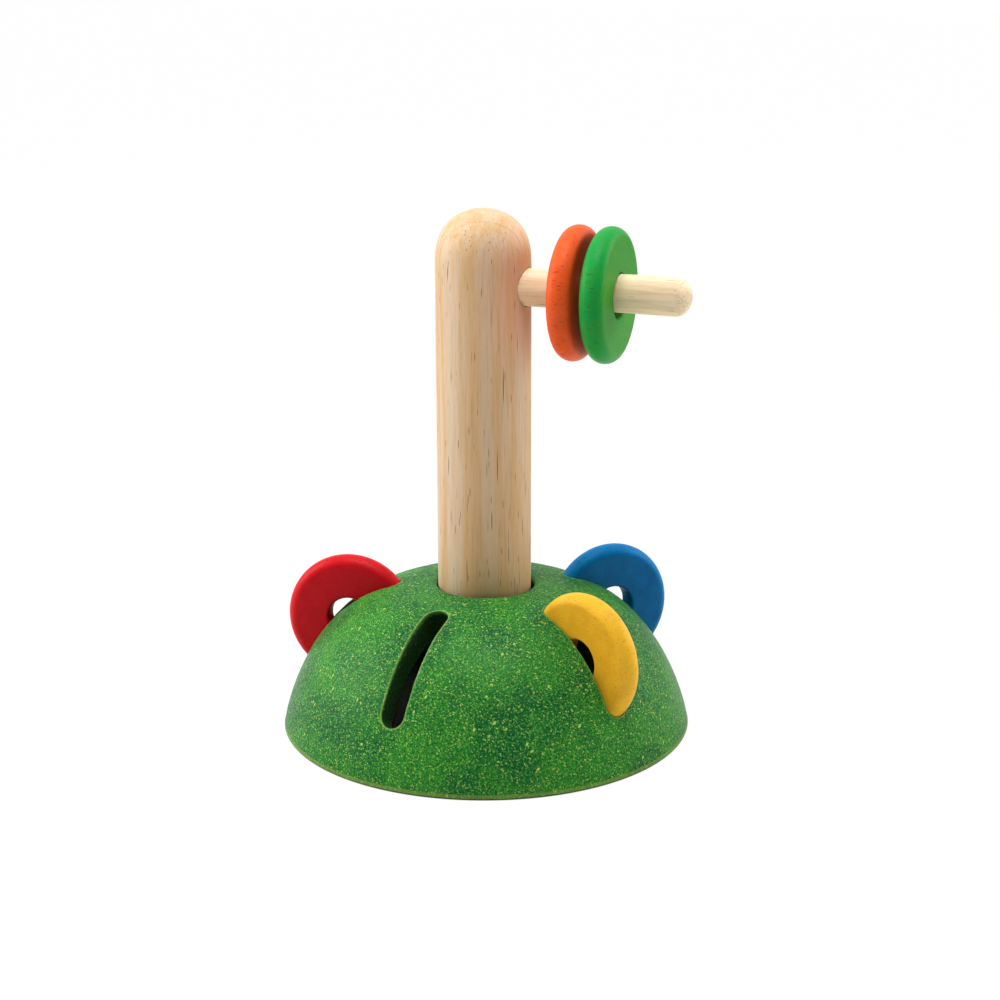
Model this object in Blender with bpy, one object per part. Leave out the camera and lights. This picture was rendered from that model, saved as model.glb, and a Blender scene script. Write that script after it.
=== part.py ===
"""Stacking ring toy: a slotted dome, a post with a side peg, and five rings.

Metres, +Z up. The origin is the centre of the dome's flat underside, and the peg points along +X.
Three rings stand in the dome's slots and two hang on the peg. Every ring and the post lift off.
"""

import math

import bmesh
import bpy
from mathutils import Matrix

# Dome: its outer curve is (r / DOME_RADIUS) ** DOME_SIDE + (z / DOME_HEIGHT) ** DOME_CROWN = 1
DOME_RADIUS = 0.0773
DOME_HEIGHT = 0.0554
DOME_SIDE = 3.53
DOME_CROWN = 1.32
DOME_WALL = 0.0080
DOME_ROOF = 0.0118
DOME_RIM_CHAMFER = 0.0012

# Socket that holds the post: a closed-bottomed tube under the dome's top
SOCKET_WALL = 0.0074
SOCKET_FLOOR = 0.0080
SOCKET_LIP = 0.0014

# Post and peg
POST_RADIUS = 0.0175
POST_TOP = 0.1961
POST_CAP_HEIGHT = 0.0211
POST_CAP_SQUARENESS = 2.77
PEG_RADIUS = 0.00685
PEG_BELOW_TOP = 0.0275
PEG_TIP = 0.0785
PEG_TIP_ROUND = 0.0054
PEG_SEAT = 0.0240

# Rings
RING_RADIUS = 0.0244
RING_THICKNESS = 0.0088
RING_RIM_ROUND = 0.0038
RING_BORE_ROUND = 0.0011

# Slots for standing rings, evenly spaced round the dome. A ring's middle is sunk under its face.
SLOT_COUNT = 5
SLOT_TURN = math.radians(47)
SLOT_RADIUS = 0.0528
SLOT_SINK = 0.00568

# Where the two hanging rings are on the peg, measured from the post's axis
ORANGE_RING_PLACE = 0.0359
GREEN_RING_PLACE = 0.0481
HANGING_TURN = math.radians(1.5)

# Clearances
TOUCH_GAP = 0.0003
SOCKET_CLEARANCE = 0.0008
BORE_CLEARANCE = 0.0013
SLOT_SIDE_CLEARANCE = 0.0003
SLOT_END_CLEARANCE = 0.0004
SLOT_END_EASE = 0.0009

# Fineness of the turned shapes
DOME_STEPS = 64
POST_STEPS = 36
PEG_STEPS = 24
RING_STEPS = 40
MERGE = 0.000001

SOCKET_RADIUS = POST_RADIUS + SOCKET_CLEARANCE
BOSS_RADIUS = SOCKET_RADIUS + SOCKET_WALL
POST_SHIFT = SOCKET_CLEARANCE - TOUCH_GAP
PEG_HEIGHT = POST_TOP - PEG_BELOW_TOP
SLOT_WIDTH = RING_THICKNESS + 2 * SLOT_SIDE_CLEARANCE
SLOT_RISE = (1 - (SLOT_RADIUS / DOME_RADIUS) ** DOME_SIDE) ** (1 / DOME_CROWN)
SLOT_HEIGHT = DOME_HEIGHT * SLOT_RISE - SLOT_SINK
RING_BORE_RADIUS = PEG_RADIUS + BORE_CLEARANCE
RING_DROP = BORE_CLEARANCE - TOUCH_GAP


def clear_scene():
    for old in list(bpy.data.objects):
        bpy.data.objects.remove(old)


def finish_material(name, colour, roughness):
    """A plain finish for one piece."""
    material = bpy.data.materials.new(name)
    material.use_nodes = True
    shader = material.node_tree.nodes["Principled BSDF"]
    shader.inputs["Base Color"].default_value = (*colour, 1)
    shader.inputs["Roughness"].default_value = roughness
    shader.inputs["Metallic"].default_value = 0
    material.diffuse_color = (*colour, 1)
    return material


def turned(name, outline, steps, closed):
    """A solid turned about its own Z axis. The outline holds (radius, height) points.

    A closed outline makes a ring, and an open one starts and ends on the axis.
    """
    shape = bmesh.new()
    points = [shape.verts.new((radius, 0, height)) for radius, height in outline]
    ends = points[1:] + points[:1] if closed else points[1:]
    lines = [shape.edges.new(pair) for pair in zip(points, ends)]
    bmesh.ops.spin(
        shape, geom=points + lines, cent=(0, 0, 0), axis=(0, 0, 1), dvec=(0, 0, 0),
        angle=math.tau, steps=steps, use_merge=True,
    )
    bmesh.ops.remove_doubles(shape, verts=shape.verts, dist=MERGE)
    bmesh.ops.recalc_face_normals(shape, faces=shape.faces)
    mesh = bpy.data.meshes.new(name)
    shape.to_mesh(mesh)
    shape.free()
    mesh.shade_smooth()
    mesh.set_sharp_from_angle(angle=math.radians(35))
    return mesh


def place(name, mesh, parent=None, location=(0, 0, 0), turn=(0, 0, 0)):
    piece = bpy.data.objects.new(name, mesh)
    piece.parent = parent
    piece.location = location
    piece.rotation_euler = turn
    bpy.context.scene.collection.objects.link(piece)
    return piece


def make_cutter(name, mesh, parent=None, location=(0, 0, 0), turn=(0, 0, 0)):
    cutter = place(name, mesh, parent, location, turn)
    cutter.hide_render = True
    cutter.display_type = "WIRE"
    return cutter


def cut(piece, cutter):
    hole = piece.modifiers.new(cutter.name, "BOOLEAN")
    hole.operation = "DIFFERENCE"
    hole.solver = "EXACT"
    hole.object = cutter


def arc(centre, radii, start, end, steps):
    """Points on an elliptical arc, from the start angle to the end angle in degrees."""
    angles = [math.radians(start + (end - start) * i / steps) for i in range(steps + 1)]
    return [
        (centre[0] + radii[0] * math.cos(a), centre[1] + radii[1] * math.sin(a))
        for a in angles
    ]


def dome_curve(reach, rise, inner_radius, steps):
    """Points down a dome curve, from the given radius out to its foot at height 0."""
    spread = math.acos((inner_radius / reach) ** (DOME_SIDE / 2))
    angles = [spread * (1 - i / steps) for i in range(steps + 1)]
    return [
        (reach * math.cos(a) ** (2 / DOME_SIDE), rise * math.sin(a) ** (2 / DOME_CROWN))
        for a in angles
    ]


def dome_outline():
    """The dome's section: outer curve, chamfered rim, hollow, boss and socket."""
    crown = [
        point
        for point in dome_curve(DOME_RADIUS, DOME_HEIGHT, SOCKET_RADIUS + SOCKET_LIP, 18)
        if point[1] > DOME_RIM_CHAMFER
    ]
    hollow = dome_curve(DOME_RADIUS - DOME_WALL, DOME_HEIGHT - DOME_ROOF, BOSS_RADIUS, 12)
    lip_height = crown[0][1] - SOCKET_LIP
    lip = arc((SOCKET_RADIUS + SOCKET_LIP, lip_height), (SOCKET_LIP, SOCKET_LIP), 180, 90, 3)
    return [
        (0, SOCKET_FLOOR),
        (SOCKET_RADIUS, SOCKET_FLOOR),
        *lip[:-1],
        *crown,
        (DOME_RADIUS, DOME_RIM_CHAMFER),
        (DOME_RADIUS - DOME_RIM_CHAMFER, 0),
        *reversed(hollow),
        (BOSS_RADIUS, 0),
        (0, 0),
    ]


def slot_seat(number):
    """An empty at the middle of a slot, its X pointing outwards and its Z along the ring's axis."""
    angle = SLOT_TURN + number * math.tau / SLOT_COUNT
    seat = place(f"slot_seat_{number + 1}", None)
    seat.matrix_world = (
        Matrix.Rotation(angle, 4, "Z")
        @ Matrix.Translation((SLOT_RADIUS, 0, SLOT_HEIGHT))
        @ Matrix.Rotation(math.radians(90), 4, "X")
    )
    return seat


def slot_cutter_mesh():
    """A disc a little larger than a ring, with a rounder rim, which leaves round slot ends."""
    half = SLOT_WIDTH / 2
    reach = RING_RADIUS + SLOT_END_CLEARANCE
    rounding = RING_RIM_ROUND + SLOT_END_EASE
    rim = arc((reach - rounding, 0), (rounding, half), -90, 90, 8)
    return turned("slot_cutter", [(0, -half), *rim, (0, half)], RING_STEPS, closed=False)


def make_dome(seats):
    dome = place("dome_base", turned("dome_base", dome_outline(), DOME_STEPS, closed=False))
    dome.data.materials.append(finish_material("dome_wood", (0.045, 0.20, 0.065), 0.5))
    cutter_mesh = slot_cutter_mesh()
    for number, seat in enumerate(seats, start=1):
        cut(dome, make_cutter(f"slot_cutter_{number}", cutter_mesh, seat))
    return dome


def make_post():
    """The post stands loosely in the socket, against the side away from the peg."""
    foot = SOCKET_FLOOR + TOUCH_GAP
    cap_start = POST_TOP - POST_CAP_HEIGHT
    cap = [
        (
            POST_RADIUS * math.cos(angle),
            cap_start + POST_CAP_HEIGHT * math.sin(angle) ** (2 / POST_CAP_SQUARENESS),
        )
        for angle in (math.radians(90 * i / 9) for i in range(9))
    ]
    outline = [(0, foot), (POST_RADIUS, foot), *cap, (0, POST_TOP)]
    post = place("post", turned("post", outline, POST_STEPS, closed=False), location=(-POST_SHIFT, 0, 0))
    post.data.materials.append(finish_material("post_wood", (0.74, 0.58, 0.40), 0.55))
    return post


def make_peg(post):
    """The peg is glued in a blind hole in the post. Its axis empty carries the hanging rings."""
    axis = place("peg_axis", None, post, (0, 0, PEG_HEIGHT), (0, math.radians(90), 0))
    seat = POST_RADIUS - PEG_SEAT
    tip = arc((0, PEG_TIP - PEG_TIP_ROUND), (PEG_RADIUS, PEG_TIP_ROUND), 0, 90, 6)[:-1]
    outline = [(0, seat), (PEG_RADIUS, seat), *tip, (0, PEG_TIP)]
    peg = place("peg", turned("peg", outline, PEG_STEPS, closed=False), axis)
    peg.data.materials.append(finish_material("peg_wood", (0.86, 0.74, 0.55), 0.55))
    hole_radius = PEG_RADIUS + TOUCH_GAP
    hole_outline = [
        (0, seat - TOUCH_GAP), (hole_radius, seat - TOUCH_GAP), (hole_radius, PEG_TIP), (0, PEG_TIP),
    ]
    hole = turned("peg_hole_cutter", hole_outline, PEG_STEPS, closed=False)
    cut(post, make_cutter("peg_hole_cutter", hole, axis))
    return axis


def ring_mesh(name):
    """A ring about its own Z axis: rounded rim, flat faces and a bore with rounded edges."""
    half = RING_THICKNESS / 2
    rim = arc((RING_RADIUS - RING_RIM_ROUND, 0), (RING_RIM_ROUND, half), -90, 90, 6)
    edge = RING_BORE_RADIUS + RING_BORE_ROUND
    step = half - RING_BORE_ROUND
    upper = arc((edge, step), (RING_BORE_ROUND, RING_BORE_ROUND), 90, 180, 2)
    lower = arc((edge, -step), (RING_BORE_ROUND, RING_BORE_ROUND), 180, 270, 2)
    return turned(name, [*rim, *upper, *lower], RING_STEPS, closed=True)


def make_ring(name, colour, parent, location=(0, 0, 0), turn=(0, 0, 0)):
    ring = place(name, ring_mesh(name), parent, location, turn)
    ring.data.materials.append(finish_material(name + "_stain", colour, 0.4))
    return ring


def make_standing_rings(seats):
    """Three rings stand half in the dome. The second and fourth slots are empty."""
    make_ring("ring_blue", (0.0, 0.09, 0.24), seats[0])
    make_ring("ring_red", (0.42, 0.012, 0.018), seats[2])
    make_ring("ring_yellow", (0.75, 0.37, 0.015), seats[4])


def make_hanging_rings(axis):
    """Two rings hang on the peg by the tops of their bores, turned a little from square."""
    turn = (-HANGING_TURN, 0, 0)
    make_ring("ring_orange", (0.83, 0.13, 0.016), axis, (RING_DROP, 0, ORANGE_RING_PLACE), turn)
    make_ring("ring_green", (0.045, 0.37, 0.05), axis, (RING_DROP, 0, GREEN_RING_PLACE), turn)


clear_scene()
slot_seats = [slot_seat(number) for number in range(SLOT_COUNT)]
make_dome(slot_seats)
peg_axis = make_peg(make_post())
make_standing_rings(slot_seats)
make_hanging_rings(peg_axis)
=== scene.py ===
import math

import bmesh
import bpy
from mathutils import Matrix, Vector


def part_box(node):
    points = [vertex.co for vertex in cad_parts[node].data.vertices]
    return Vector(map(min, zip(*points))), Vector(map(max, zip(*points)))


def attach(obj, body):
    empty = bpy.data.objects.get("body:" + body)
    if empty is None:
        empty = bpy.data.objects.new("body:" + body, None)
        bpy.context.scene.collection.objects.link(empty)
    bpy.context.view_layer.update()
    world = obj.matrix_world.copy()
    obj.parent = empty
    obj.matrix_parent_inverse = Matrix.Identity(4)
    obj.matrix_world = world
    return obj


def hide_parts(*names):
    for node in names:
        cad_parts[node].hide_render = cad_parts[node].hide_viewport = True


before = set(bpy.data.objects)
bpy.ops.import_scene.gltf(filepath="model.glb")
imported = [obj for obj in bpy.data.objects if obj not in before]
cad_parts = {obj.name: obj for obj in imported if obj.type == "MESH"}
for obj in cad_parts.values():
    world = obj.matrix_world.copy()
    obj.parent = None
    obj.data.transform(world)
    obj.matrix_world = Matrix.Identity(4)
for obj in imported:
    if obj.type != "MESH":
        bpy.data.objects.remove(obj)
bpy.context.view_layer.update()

# ---------------------------------------------------------------------------------------------
# Dome base. One moulded shell of dyed, pressed wood fibre, hollow underneath, with a closed
# socket for the post and five slots that a ring drops into. The slots are milled with a round
# cutter, so their ends follow a ring's edge, and their lips are rubbed down by hand.
# ---------------------------------------------------------------------------------------------
dome_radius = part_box("dome_base")[1].x
dome_rise = 0.0554
# The section's curve: radius ** side + height ** crown = 1, in shares of the dome's own size
dome_side = 3.53
dome_crown = 1.32
wall = 0.0080
roof = 0.0118
rim_round = 0.0011
socket_radius = 0.0183
socket_wall = 0.0074
socket_floor = 0.0080
socket_lip = 0.0014
ring_radius = 0.0244
ring_thickness = 0.0088
slot_side_play = 0.0003
slot_end_play = 0.0004
slot_half = ring_thickness / 2 + slot_side_play
slot_reach = ring_radius + slot_end_play
slot_turn = math.radians(47)
slot_step = math.tau / 5
slot_radius = 0.0528
slot_height = 0.0384
lip_round = 0.00035
dome_steps = 288
cutter_steps = 144


def arc(centre, radii, start, end, steps):
    """Points on an elliptical arc between two angles in degrees."""
    angles = [math.radians(start + (end - start) * i / steps) for i in range(steps + 1)]
    return [(centre[0] + radii[0] * math.cos(a), centre[1] + radii[1] * math.sin(a)) for a in angles]


def dome_curve(reach, rise, inner, steps):
    """A dome's section, from the given radius out to its foot."""
    spread = math.acos((inner / reach) ** (dome_side / 2))
    angles = [spread * (1 - i / steps) for i in range(steps + 1)]
    return [
        (reach * math.cos(a) ** (2 / dome_side), rise * math.sin(a) ** (2 / dome_crown))
        for a in angles
    ]


def spun(outline, steps, closed):
    """A bmesh turned about Z from (radius, height) points. A closed outline makes a ring."""
    shape = bmesh.new()
    points = [shape.verts.new((radius, 0, height)) for radius, height in outline]
    ends = points[1:] + points[:1] if closed else points[1:]
    lines = [shape.edges.new(pair) for pair in zip(points, ends)]
    bmesh.ops.spin(
        shape, geom=points + lines, cent=(0, 0, 0), axis=(0, 0, 1), dvec=(0, 0, 0),
        angle=math.tau, steps=steps, use_merge=True,
    )
    bmesh.ops.remove_doubles(shape, verts=shape.verts, dist=0.000001)
    bmesh.ops.recalc_face_normals(shape, faces=shape.faces)
    return shape


def piece(name, shape, crease=40):
    """An object from a bmesh, shaded smooth apart from its corners."""
    mesh = bpy.data.meshes.new(name)
    shape.to_mesh(mesh)
    shape.free()
    mesh.shade_smooth()
    mesh.set_sharp_from_angle(angle=math.radians(crease))
    made = bpy.data.objects.new(name, mesh)
    bpy.context.scene.collection.objects.link(made)
    return made


def cut_away(body, tool):
    """The body with the tool's shape cut out of it. The tool is thrown away."""
    hole = body.modifiers.new("cut", "BOOLEAN")
    hole.operation = "DIFFERENCE"
    hole.solver = "EXACT"
    hole.object = tool
    whole = bpy.context.evaluated_depsgraph_get()
    shape = bmesh.new()
    shape.from_object(body, whole)
    bpy.data.objects.remove(tool)
    bpy.data.objects.remove(body)
    return shape


crown_foot = rim_round * 1.6
crown = [
    point
    for point in dome_curve(dome_radius, dome_rise, socket_radius + socket_lip, 46)
    if point[1] > crown_foot
]
hollow = dome_curve(dome_radius - wall, dome_rise - roof, socket_radius + socket_wall, 32)
lip = arc(
    (socket_radius + socket_lip, crown[0][1] - socket_lip), (socket_lip, socket_lip), 180, 90, 6
)
rim = arc((dome_radius - rim_round, rim_round), (rim_round, rim_round), 0, -90, 5)
dome_outline = [
    (0, socket_floor),
    (socket_radius, socket_floor),
    *lip[:-1],
    *crown,
    *rim,
    *reversed(hollow),
    (socket_radius + socket_wall, 0),
    (0, 0),
]
dome_blank = piece("dome_blank", spun(dome_outline, dome_steps, closed=False))

slot_edge = arc((slot_reach - slot_half, 0), (slot_half, slot_half), -90, 90, 12)
slot_tools = bmesh.new()
for number in range(5):
    disc = spun([(0, -slot_half), *slot_edge, (0, slot_half)], cutter_steps, closed=False)
    disc.transform(
        Matrix.Rotation(slot_turn + number * slot_step, 4, "Z")
        @ Matrix.Translation((slot_radius, 0, slot_height))
        @ Matrix.Rotation(math.radians(90), 4, "X")
    )
    loose = bpy.data.meshes.new("slot_disc")
    disc.to_mesh(loose)
    disc.free()
    slot_tools.from_mesh(loose)
    bpy.data.meshes.remove(loose)
dome_shape = cut_away(dome_blank, piece("slot_tools", slot_tools))

# The rubbed lips: the edge of each slot on the outer face is rounded over
rim_clearance = 0.010
socket_clearance = 0.006
shortest_edge = 0.00045


def on_crown(point):
    """True on the dome's outer face, away from the rim and the socket."""
    reach = math.hypot(point.x, point.y)
    shell = (reach / dome_radius) ** dome_side + max(0, point.z / dome_rise) ** dome_crown
    clear = point.z > rim_clearance and reach > socket_radius + socket_clearance
    return clear and abs(shell - 1) < 0.01


def lip_edges():
    """The sharp edges where the slots meet the outer face."""
    return [
        edge
        for edge in dome_shape.edges
        if len(edge.link_faces) == 2
        and edge.calc_face_angle() > math.radians(35)
        and on_crown(edge.verts[0].co)
        and on_crown(edge.verts[1].co)
    ]


near_lips = {edge for lip_edge in lip_edges() for end in lip_edge.verts for edge in end.link_edges}
bmesh.ops.dissolve_degenerate(dome_shape, dist=shortest_edge, edges=list(near_lips))
bmesh.ops.bevel(
    dome_shape, geom=lip_edges(), offset=lip_round, offset_type="OFFSET", segments=3, profile=0.5,
    affect="EDGES", clamp_overlap=True, material=-1,
)
dome = piece("dome", dome_shape, crease=50)


class Shade:
    """One output of a shader node, with Python's arithmetic on it."""

    def __init__(self, tree, socket=None):
        self.tree = tree
        self.socket = socket

    def node(self, kind, settings=None, values=None, output=0):
        """A node of any kind: its settings first, then the values or links of its sockets."""
        made = self.tree.nodes.new(kind)
        for name, setting in (settings or {}).items():
            setattr(made, name, setting)
        for name, value in (values or {}).items():
            if isinstance(value, Shade):
                self.tree.links.new(value.socket, made.inputs[name])
            else:
                made.inputs[name].default_value = value
        return Shade(self.tree, made.outputs[output])

    def math(self, operation, other=0.0):
        """A Math node on this and another value."""
        return self.node("ShaderNodeMath", {"operation": operation}, {0: self, 1: other})

    def __add__(self, other):
        return self.math("ADD", other)

    def __sub__(self, other):
        return self.math("SUBTRACT", other)

    def __rsub__(self, other):
        return self.node("ShaderNodeMath", {"operation": "SUBTRACT"}, {0: other, 1: self})

    def __mul__(self, other):
        return self.math("MULTIPLY", other)

    def __truediv__(self, other):
        return self.math("DIVIDE", other)

    def __pow__(self, other):
        return self.math("POWER", other)

    __radd__ = __add__
    __rmul__ = __mul__

    def ramp(self, low, high):
        """0 below low and 1 above high, with a soft step between. It falls if low is above high."""
        settings = {"interpolation_type": "SMOOTHSTEP"}
        return self.node("ShaderNodeMapRange", settings, {0: self, 1: low, 2: high})

    def scaled(self, factors):
        """The coordinates stretched along each axis."""
        return self.node("ShaderNodeVectorMath", {"operation": "MULTIPLY"}, {0: self, 1: factors})

    def noise(self, size, detail=2, roughness=0.5):
        """Noise whose features are about the given size in metres."""
        values = {"Vector": self, "Scale": 1 / size, "Detail": detail, "Roughness": roughness}
        return self.node("ShaderNodeTexNoise", None, values)

    def cells(self, size, output=0):
        """Distance to the nearest of many scattered points, or that point's random colour."""
        values = {"Vector": self, "Scale": 1 / size}
        return self.node("ShaderNodeTexVoronoi", None, values, output)

    def part(self, index):
        """One coordinate, or one channel of a colour, as a number."""
        return self.node("ShaderNodeSeparateXYZ", None, {0: self}, index)

    def mixed(self, first, second):
        """The first colour where this is 0, and the second where it is 1."""
        values = {0: self, 6: first, 7: second}
        return self.node("ShaderNodeMix", {"data_type": "RGBA"}, values, 2)


def new_finish(name, gloss):
    """A material, its shader node and its object coordinates."""
    material = bpy.data.materials.new(name)
    material.use_nodes = True
    tree = material.node_tree
    shader = tree.nodes["Principled BSDF"]
    shader.inputs["Specular IOR Level"].default_value = gloss
    place = Shade(tree).node("ShaderNodeTexCoord", output="Object")
    return material, shader, place


def feed(shader, colour, roughness, height, depth):
    """Link a colour, a roughness and a bump height to the shader."""
    tree = colour.tree
    values = {"Height": height, "Distance": depth, "Strength": 1.0}
    bump = colour.node("ShaderNodeBump", None, values)
    tree.links.new(colour.socket, shader.inputs["Base Color"])
    tree.links.new(roughness.socket, shader.inputs["Roughness"])
    tree.links.new(bump.socket, shader.inputs["Normal"])


def pressed_wood():
    """Green dyed fibre: fine dark and light mottling, with pale slivers lying every way."""
    material, shader, place = new_finish("green_pressed_wood", 0.08)
    deep_green = (0.003, 0.098, 0.025, 1)
    leaf_green = (0.026, 0.215, 0.022, 1)
    bright_grain = (0.135, 0.47, 0.055, 1)
    dark_grit = (0.003, 0.052, 0.017, 1)
    pale_sliver = (0.50, 0.66, 0.13, 1)
    # Painted highlight: a pale line along the slot lips on the outer face
    lip_highlight = (0.33, 0.50, 0.11, 1)
    unlit_inside = (0.012, 0.036, 0.013, 1)
    # Painted reflection of the floor on the rounded foot
    floor_reflection_on_rim = (0.27, 0.36, 0.07, 1)
    # Painted contact shadow: a dark line where the dome meets the floor
    contact_shadow_colour = (0.012, 0.025, 0.010, 1)

    cloud = place.noise(0.022, 4, 0.6)
    grain = place.noise(0.00085, 3, 0.8)
    grit = place.noise(0.0006, 2, 0.6)
    colour = cloud.ramp(0.36, 0.64).mixed(deep_green, leaf_green)
    colour = grain.ramp(0.48, 0.68).mixed(colour, bright_grain)
    colour = (grit.ramp(0.54, 0.38) * 0.76).mixed(colour, dark_grit)

    # Each layer: spacing, turn, stretch, a sliver's half width in spacings, and the share left out
    slivers = None
    fibres = (
        (0.0010, (0.3, 0.5, 0.2), (1, 2.4, 1.3), 0.30, 0.45),
        (0.0016, (1.1, 0.2, 0.9), (2.6, 1, 1.5), 0.27, 0.55),
        (0.0027, (0.7, 1.3, 2.1), (1.6, 2.8, 1), 0.22, 0.55),
        (0.0058, (2.2, 0.4, 1.2), (1, 1.7, 2.6), 0.17, 0.45),
    )
    for size, turn, stretch, width, left_out in fibres:
        turned = place.node("ShaderNodeMapping", None, {"Vector": place, "Rotation": turn})
        warped = turned.node(
            "ShaderNodeVectorMath", {"operation": "ADD"},
            {0: turned, 1: turned.noise(size * 1.5, 1).scaled((size * 0.6,) * 3)},
        )
        flat = warped.scaled(stretch)
        fleck = flat.cells(size).ramp(width, width * 0.5)
        fleck = fleck * flat.cells(size, "Color").part(0).ramp(left_out, left_out + 0.3)
        slivers = fleck if slivers is None else slivers.math("MAXIMUM", fleck)
    colour = (slivers * 0.85).mixed(colour, pale_sliver)

    across = place.part(0)
    along = place.part(1)
    up = place.part(2)
    reach = (across * across + along * along) ** 0.5
    rise = (up / dome_rise).math("MAXIMUM", 0.0)
    shell = (reach / dome_radius) ** dome_side + rise ** dome_crown
    inside = shell.ramp(0.985, 0.93)

    # Distance from the nearest slot, found in the one-fifth turn that a slot is the middle of
    fifth = (along.math("ARCTAN2", across) - slot_turn) * (1 / slot_step) + 0.5
    swing = ((fifth + 1).math("FRACT") - 0.5) * slot_step
    out = reach * swing.math("COSINE") - slot_radius
    aside = reach * swing.math("SINE")
    above = up - slot_height
    past = (out * out + above * above) ** 0.5 - (slot_reach - slot_half)
    past = past.math("MAXIMUM", 0.0)
    clear = (past * past + aside * aside) ** 0.5 - slot_half
    # A painted highlight along each slot's lip on the outer face: a pale line where the rounded lip
    # would catch the light
    edge_highlight = clear.ramp(0.0008, 0.0004) * shell.ramp(0.960, 0.985)
    colour = (edge_highlight * 0.34).mixed(colour, lip_highlight)
    colour = (inside * 0.80).mixed(colour, unlit_inside)
    # A painted reflection of the floor: a pale band just above the foot, where the rounded rim would
    # mirror it
    band = up.ramp(0.0023, 0.0018)
    colour = (band * 0.42 * (1 - inside)).mixed(colour, floor_reflection_on_rim)
    # A painted contact shadow: darker in the last millimetre above the floor
    foot = up.ramp(0.0010, 0.0004)
    colour = (foot * 0.85).mixed(colour, contact_shadow_colour)

    rough = 0.36 + grain * 0.16 + inside * 0.25
    height = grain * 0.6 + slivers * 0.25 + cloud * 0.5
    feed(shader, colour, rough, height, 0.00010)
    return material


dome.data.materials.append(pressed_wood())
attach(dome, "base")
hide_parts("dome_base")

# ---------------------------------------------------------------------------------------------
# Post. A length of pale plantation-wood dowel with a domed top, sanded and clear finished. It
# stands loosely in the dome's socket, and a blind hole near its top holds the peg.
# ---------------------------------------------------------------------------------------------
post_low, post_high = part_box("post")
peg_low, peg_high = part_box("peg")
post_radius = (post_high.x - post_low.x) / 2
post_axis = (post_high.x + post_low.x) / 2
cap_height = 0.0211
cap_squareness = 2.77
foot_round = 0.0012
peg_radius = (peg_high.z - peg_low.z) / 2
peg_height = (peg_high.z + peg_low.z) / 2
peg_gap = 0.0003
post_steps = 144
peg_steps = 96
cap_steps = 26

cap_start = post_high.z - cap_height
cap_angles = [math.radians(90 * i / cap_steps) for i in range(cap_steps)]
cap = [
    (
        post_radius * math.cos(angle),
        cap_start + cap_height * math.sin(angle) ** (2 / cap_squareness),
    )
    for angle in cap_angles
]
foot = arc((post_radius - foot_round, post_low.z + foot_round), (foot_round, foot_round), -90, 0, 4)
post_outline = [(0, post_low.z), *foot, *cap, (0, post_high.z)]
post_blank = piece("post_blank", spun(post_outline, post_steps, closed=False))
along_peg = Matrix.Translation((0, 0, peg_height)) @ Matrix.Rotation(math.radians(90), 4, "Y")
hole_radius = peg_radius + peg_gap
hole_start = peg_low.x - post_axis - peg_gap
hole_end = 2 * post_radius
hole_outline = [(0, hole_start), (hole_radius, hole_start), (hole_radius, hole_end), (0, hole_end)]
hole_shape = spun(hole_outline, peg_steps, closed=False)
hole_shape.transform(along_peg)
post_shape = cut_away(post_blank, piece("hole_tool", hole_shape))
post_shape.transform(Matrix.Translation((post_axis, 0, 0)))
post = piece("post_dowel", post_shape)


def plain_wood(name, pale, tan, pore, centre, along, ring_gap, crowded):
    """Clear finished wood, solid all through, so bands and pores agree with the end grain.

    centre is a point on the tree's middle, and along is 0, 1 or 2 for the axis of the grain. The
    growth rings are ring_gap apart. The pores crowd towards the second of two places along it.
    """
    material, shader, place = new_finish(name, 0.20)
    growth_brown = [c * 0.62 for c in tan[:3]] + [1]
    fibre_brown = [c * 0.60 for c in tan[:3]] + [1]
    stretch = [1.0, 1.0, 1.0]
    stretch[along] = 0.045
    shift = place.node("ShaderNodeVectorMath", {"operation": "SUBTRACT"}, {0: place, 1: centre})
    wander = place.scaled([0.5 if s == 1 else 0.10 for s in stretch]).noise(0.010, 2)
    sides = [shift.part(axis) for axis in range(3) if axis != along]
    reach = (sides[0] * sides[0] + sides[1] * sides[1]) ** 0.5 + (wander - 0.5) * 0.006
    cycle = (reach * (1 / ring_gap)).math("FRACT")
    band = cycle.ramp(0.30, 0.95) * cycle.ramp(1.0, 0.96)
    line = cycle.ramp(0.86, 0.95) * cycle.ramp(1.0, 0.97)
    fibre = place.scaled(stretch).noise(0.0008, 4, 0.7)
    streak = place.scaled(stretch).noise(0.005, 3, 0.6)
    colour = streak.ramp(0.34, 0.68).mixed(pale, tan)
    colour = (band * 0.26).mixed(colour, tan)
    colour = (line * 0.15).mixed(colour, growth_brown)
    colour = (fibre.ramp(0.45, 0.70) * 0.36).mixed(colour, fibre_brown)

    # Each layer: spacing, how far it is drawn out, a pore's half width in spacings, and the share
    pores = None
    crowd = place.scaled(stretch).noise(0.006, 2).ramp(0.40, 0.66)
    crowd = crowd * 0.45 + place.part(along).ramp(*crowded) * 0.22
    layers = (
        (0.0008, 0.060, 0.17, 0.50),
        (0.0013, 0.036, 0.14, 0.52),
        (0.0022, 0.024, 0.095, 0.62),
    )
    for size, length, width, share in layers:
        thin = [1.0, 1.0, 1.0]
        thin[along] = length
        cell = place.scaled(thin)
        dash = cell.cells(size).ramp(width, width * 0.5)
        chosen = cell.cells(size, "Color").part(0) + crowd
        dash = dash * chosen.ramp(1.12 - share, 1.34 - share)
        pores = dash if pores is None else pores.math("MAXIMUM", dash)
    colour = (pores * 0.90).mixed(colour, pore)

    rough = 0.44 + fibre * 0.16 + pores * 0.2
    height = fibre * 0.35 - pores * 1.0 + band * 0.1
    feed(shader, colour, rough, height, 0.00010)
    return material


post.data.materials.append(
    plain_wood(
        "post_wood",
        pale=(0.665, 0.495, 0.34, 1),
        tan=(0.645, 0.395, 0.18, 1),
        pore=(0.10, 0.042, 0.015, 1),
        centre=(-0.022, 0.057, 0),
        along=2,
        ring_gap=0.0072,
        crowded=(0.17, 0.05),
    )
)
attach(post, "post_and_peg")
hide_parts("post")

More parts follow.
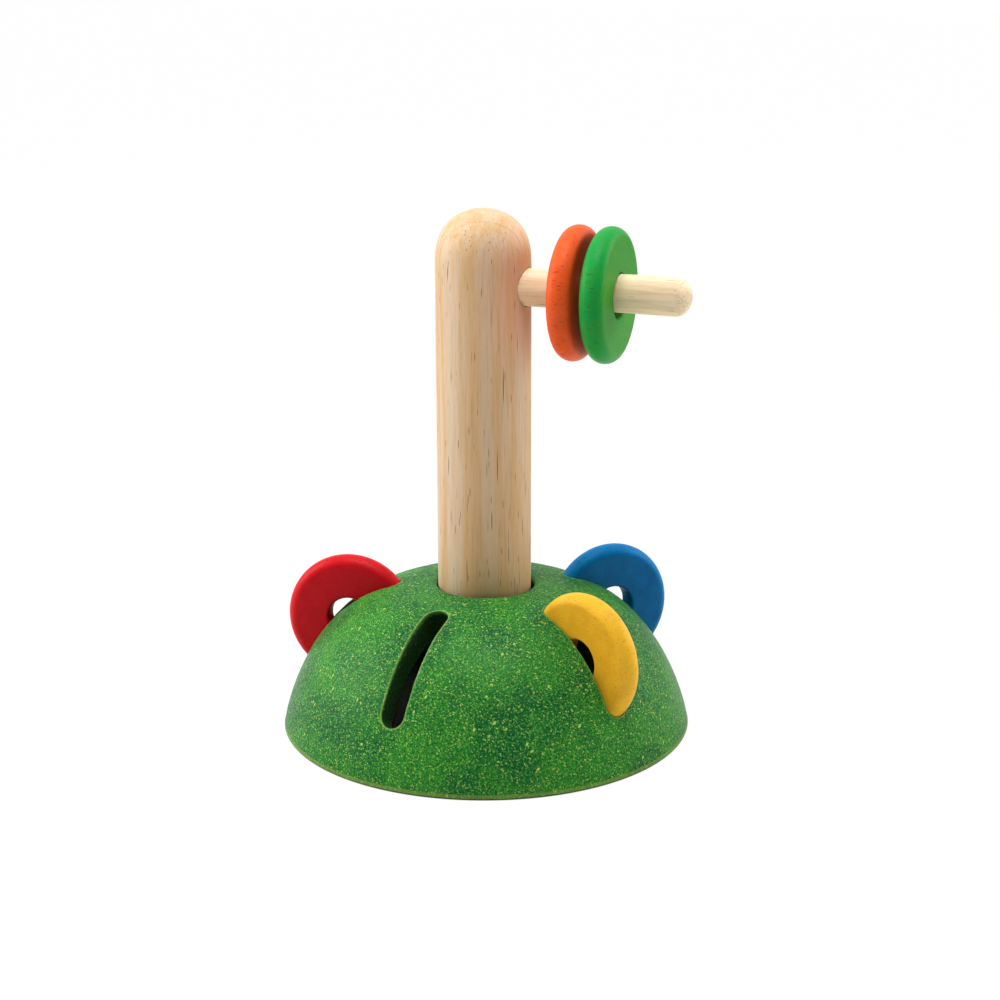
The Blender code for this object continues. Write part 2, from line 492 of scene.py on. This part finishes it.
# ---------------------------------------------------------------------------------------------
# Peg. A thinner dowel of paler wood, glued in the post's blind hole, with a rounded tip. Its
# grain runs along it, so the tip shows end grain.
# ---------------------------------------------------------------------------------------------
tip_round = 0.0054
peg_seat = peg_low.x - post_axis
peg_tip = peg_high.x - post_axis
tip = arc((0, peg_tip - tip_round), (peg_radius, tip_round), 0, 90, 18)[:-1]
peg_outline = [(0, peg_seat), (peg_radius, peg_seat), *tip, (0, peg_tip)]
peg_shape = spun(peg_outline, peg_steps, closed=False)
peg_shape.transform(Matrix.Translation((post_axis, 0, 0)) @ along_peg)
peg = piece("side_peg", peg_shape)
peg.data.materials.append(
    plain_wood(
        "peg_wood",
        pale=(0.94, 0.77, 0.53, 1),
        tan=(0.82, 0.58, 0.34, 1),
        pore=(0.20, 0.10, 0.04, 1),
        centre=(0, 0.012, peg_height + 0.016),
        along=0,
        ring_gap=0.0030,
        crowded=(0.03, 0.07),
    )
)
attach(peg, "post_and_peg")
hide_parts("peg")

# ---------------------------------------------------------------------------------------------
# Rings. Five turned wooden discs with rounded rims and a bore, stained through and satin
# finished. The grain runs along a ring's axis: pores are dots on its faces and ticks on its rim.
# ---------------------------------------------------------------------------------------------
ring_rim_round = 0.0038
bore_radius = 0.00815
bore_round = 0.0011
face_margin = 0.0015
hanging_turn = math.radians(1.5)
ring_steps = 160


def ring_shape():
    """A ring about Z."""
    half = ring_thickness / 2
    outer = arc((ring_radius - ring_rim_round, 0), (ring_rim_round, half), -90, 90, 20)
    edge = bore_radius + bore_round
    step = half - bore_round
    upper = arc((edge, step), (bore_round, bore_round), 90, 180, 5)
    lower = arc((edge, -step), (bore_round, bore_round), 180, 270, 5)
    flats = [ring_radius - ring_rim_round - face_margin, edge + face_margin]
    top_face = [(radius, half) for radius in flats]
    under_face = [(radius, -half) for radius in reversed(flats)]
    return spun([*outer, *top_face, *upper, *lower, *under_face], ring_steps, closed=True)


def stain(name, deep, light, pore, place_in_world):
    """Wood stain: deep on the faces, with painted highlights on the rounded rim and the bore's edge,
    pores darker.
    """
    material, shader, place = new_finish(name, 0.09)
    fibre_dark = [c * 0.6 for c in deep[:3]] + [1]
    back = place_in_world.inverted()
    own = place.node(
        "ShaderNodeMapping", None,
        {"Vector": place, "Location": back.translation, "Rotation": back.to_euler("XYZ")},
    )
    across = own.part(0)
    along = own.part(1)
    reach = (across * across + along * along) ** 0.5
    # Painted highlights: the lighter colour on the rounded rim and around the bore's rounded edge
    edge_highlight = reach.ramp(ring_radius - ring_rim_round, ring_radius - 0.0009)
    bore_highlight = reach.ramp(bore_radius + bore_round * 1.3, bore_radius + bore_round * 0.4)
    in_bore = reach.ramp(bore_radius + 0.0004, bore_radius)
    cloud = own.scaled((1, 1, 0.3)).noise(0.006, 3, 0.6)
    fibre = own.scaled((1, 1, 0.16)).noise(0.00055, 3, 0.65)
    # The cloudy tone is the stain's own; the rim's share is the painted highlight
    colour = (cloud.ramp(0.35, 0.68) * 0.30 + edge_highlight * 0.65).mixed(deep, light)
    colour = (bore_highlight * (1 - in_bore) * 0.45).mixed(colour, light)
    colour = (fibre.ramp(0.50, 0.72) * 0.35).mixed(colour, fibre_dark)

    # Each layer: spacing, how far it is drawn out, a pore's half width in spacings, and the share
    pores = None
    layers = ((0.0008, 0.22, 0.24, 0.60), (0.0015, 0.16, 0.18, 0.58))
    for size, length, width, share in layers:
        cell = own.scaled((1, 1, length))
        dot = cell.cells(size).ramp(width, width * 0.45)
        dot = dot * cell.cells(size, "Color").part(0).ramp(1 - share, 1.12 - share)
        pores = dot if pores is None else pores.math("MAXIMUM", dot)
    colour = (pores * 0.72).mixed(colour, pore)

    rough = 0.34 + fibre * 0.14 + pores * 0.2
    height = fibre * 0.3 - pores * 0.9 + cloud * 0.15
    feed(shader, colour, rough, height, 0.00008)
    return material


stains = {
    "orange": ((0.60, 0.056, 0.010, 1), (0.79, 0.105, 0.020, 1), (0.28, 0.022, 0.005, 1)),
    "green": ((0.046, 0.290, 0.016, 1), (0.004, 0.290, 0.050, 1), (0.008, 0.090, 0.014, 1)),
    "red": ((0.510, 0.003, 0.008, 1), (0.62, 0.010, 0.016, 1), (0.14, 0.002, 0.005, 1)),
    "blue": ((0.000, 0.118, 0.320, 1), (0.000, 0.205, 0.52, 1), (0.0, 0.034, 0.100, 1)),
    "yellow": ((0.69, 0.345, 0.015, 1), (0.87, 0.490, 0.032, 1), (0.36, 0.13, 0.006, 1)),
}
for name, colours in stains.items():
    low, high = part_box("ring_" + name)
    middle = (low + high) / 2
    if name in ("orange", "green"):
        turn = Matrix.Rotation(hanging_turn, 4, "Z") @ Matrix.Rotation(math.radians(90), 4, "Y")
    else:
        azimuth = math.atan2(middle.y, middle.x)
        turn = Matrix.Rotation(azimuth, 4, "Z") @ Matrix.Rotation(math.radians(90), 4, "X")
    seat = Matrix.Translation(middle) @ turn
    shape = ring_shape()
    shape.transform(seat)
    ring = piece("wooden_ring_" + name, shape)
    ring.data.materials.append(stain(name + "_stain", *colours, seat))
    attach(ring, name + "_ring")
    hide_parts("ring_" + name)

# ---------------------------------------------------------------------------------------------
# Studio. A plain pale floor that glows where the camera sees it bare, a white surround that is
# brighter behind the toy, three soft boxes and the camera.
# ---------------------------------------------------------------------------------------------
floor_shape = bmesh.new()
bmesh.ops.create_grid(floor_shape, x_segments=1, y_segments=1, size=6)
floor_drop = 0.0001
floor_shape.transform(Matrix.Translation((0, 0, -floor_drop)))
floor = piece("floor", floor_shape)
paper = bpy.data.materials.new("white_paper")
paper.use_nodes = True
paper_tree = paper.node_tree
for spare in list(paper_tree.nodes):
    paper_tree.nodes.remove(spare)
paper_shade = Shade(paper_tree)
matt = paper_shade.node("ShaderNodeBsdfDiffuse", None, {"Color": (0.85, 0.85, 0.85, 1)})
glow = paper_shade.node("ShaderNodeEmission", None, {"Color": (1, 1, 1, 1), "Strength": 1.03})
seen = paper_shade.node("ShaderNodeLightPath", output="Is Camera Ray")
spot = paper_shade.node("ShaderNodeTexCoord", output="Object")
reach = (spot.part(0) * spot.part(0) + spot.part(1) * spot.part(1)) ** 0.5
open_floor = reach.ramp(dome_radius * 0.985, dome_radius * 0.995)
lit = seen * 0.95 * open_floor
both = paper_shade.node("ShaderNodeMixShader", None, {0: lit, 1: matt, 2: glow})
paper_out = paper_tree.nodes.new("ShaderNodeOutputMaterial")
paper_tree.links.new(both.socket, paper_out.inputs["Surface"])
floor.data.materials.append(paper)

look_azimuth = math.radians(21.72)
surround = bpy.data.worlds.new("surround")
bpy.context.scene.world = surround
surround.use_nodes = True
surround.node_tree.nodes["Background"].inputs["Color"].default_value = (1, 1, 1, 1)
surround_shade = Shade(surround.node_tree)
seen = surround_shade.node("ShaderNodeLightPath", output="Is Camera Ray")
sky = surround_shade.node("ShaderNodeTexCoord", output="Generated")
behind = sky.node(
    "ShaderNodeVectorMath", {"operation": "DOT_PRODUCT"},
    {0: sky, 1: (-math.sin(look_azimuth), math.cos(look_azimuth), 0)}, "Value",
)
strength = (0.04 + behind.ramp(-0.45, 0.75) * 0.82) * (1 - seen) + seen * 1.02
surround.node_tree.links.new(
    strength.socket, surround.node_tree.nodes["Background"].inputs["Strength"]
)

look_height = math.radians(16.02)
look_distance = 0.7627
look_roll = math.radians(-0.135)
aim = Matrix.Rotation(look_azimuth, 3, "Z") @ Vector((0.00542, 0, 0.08718))


def from_camera_side(right, towards, up):
    """A point given by how far it is to the camera's right, towards it, and up."""
    return Matrix.Rotation(look_azimuth, 3, "Z") @ Vector((right, -towards, up))


lit_point = Vector((0, 0, 0.08))
soft_boxes = (
    ("left_box", (-0.75, -0.08, 0.42), 0.50, 5.3),
    ("right_box", (0.70, -0.18, 0.38), 0.45, 2.8),
    ("top_box", (0.00, 0.13, 0.80), 0.45, 5.5),
)
for name, where, size, power in soft_boxes:
    light = bpy.data.lights.new(name, "AREA")
    light.size = size
    light.energy = power
    box = bpy.data.objects.new(name, light)
    box.location = from_camera_side(*where)
    towards = lit_point - box.location
    box.rotation_euler = towards.to_track_quat("-Z", "Y").to_euler()
    bpy.context.scene.collection.objects.link(box)

lens = bpy.data.cameras.new("camera")
lens.sensor_width = 36
lens.lens = 73.49
lens.clip_start = 0.01
camera = bpy.data.objects.new("camera", lens)
back = from_camera_side(0, math.cos(look_height), math.sin(look_height))
facing = back.to_track_quat("Z", "Y").to_matrix().to_4x4()
camera.matrix_world = (
    Matrix.Translation(aim + look_distance * back) @ facing @ Matrix.Rotation(look_roll, 4, "Z")
)
bpy.context.scene.collection.objects.link(camera)
bpy.context.scene.camera = camera
bpy.context.scene.view_settings.view_transform = "Standard"
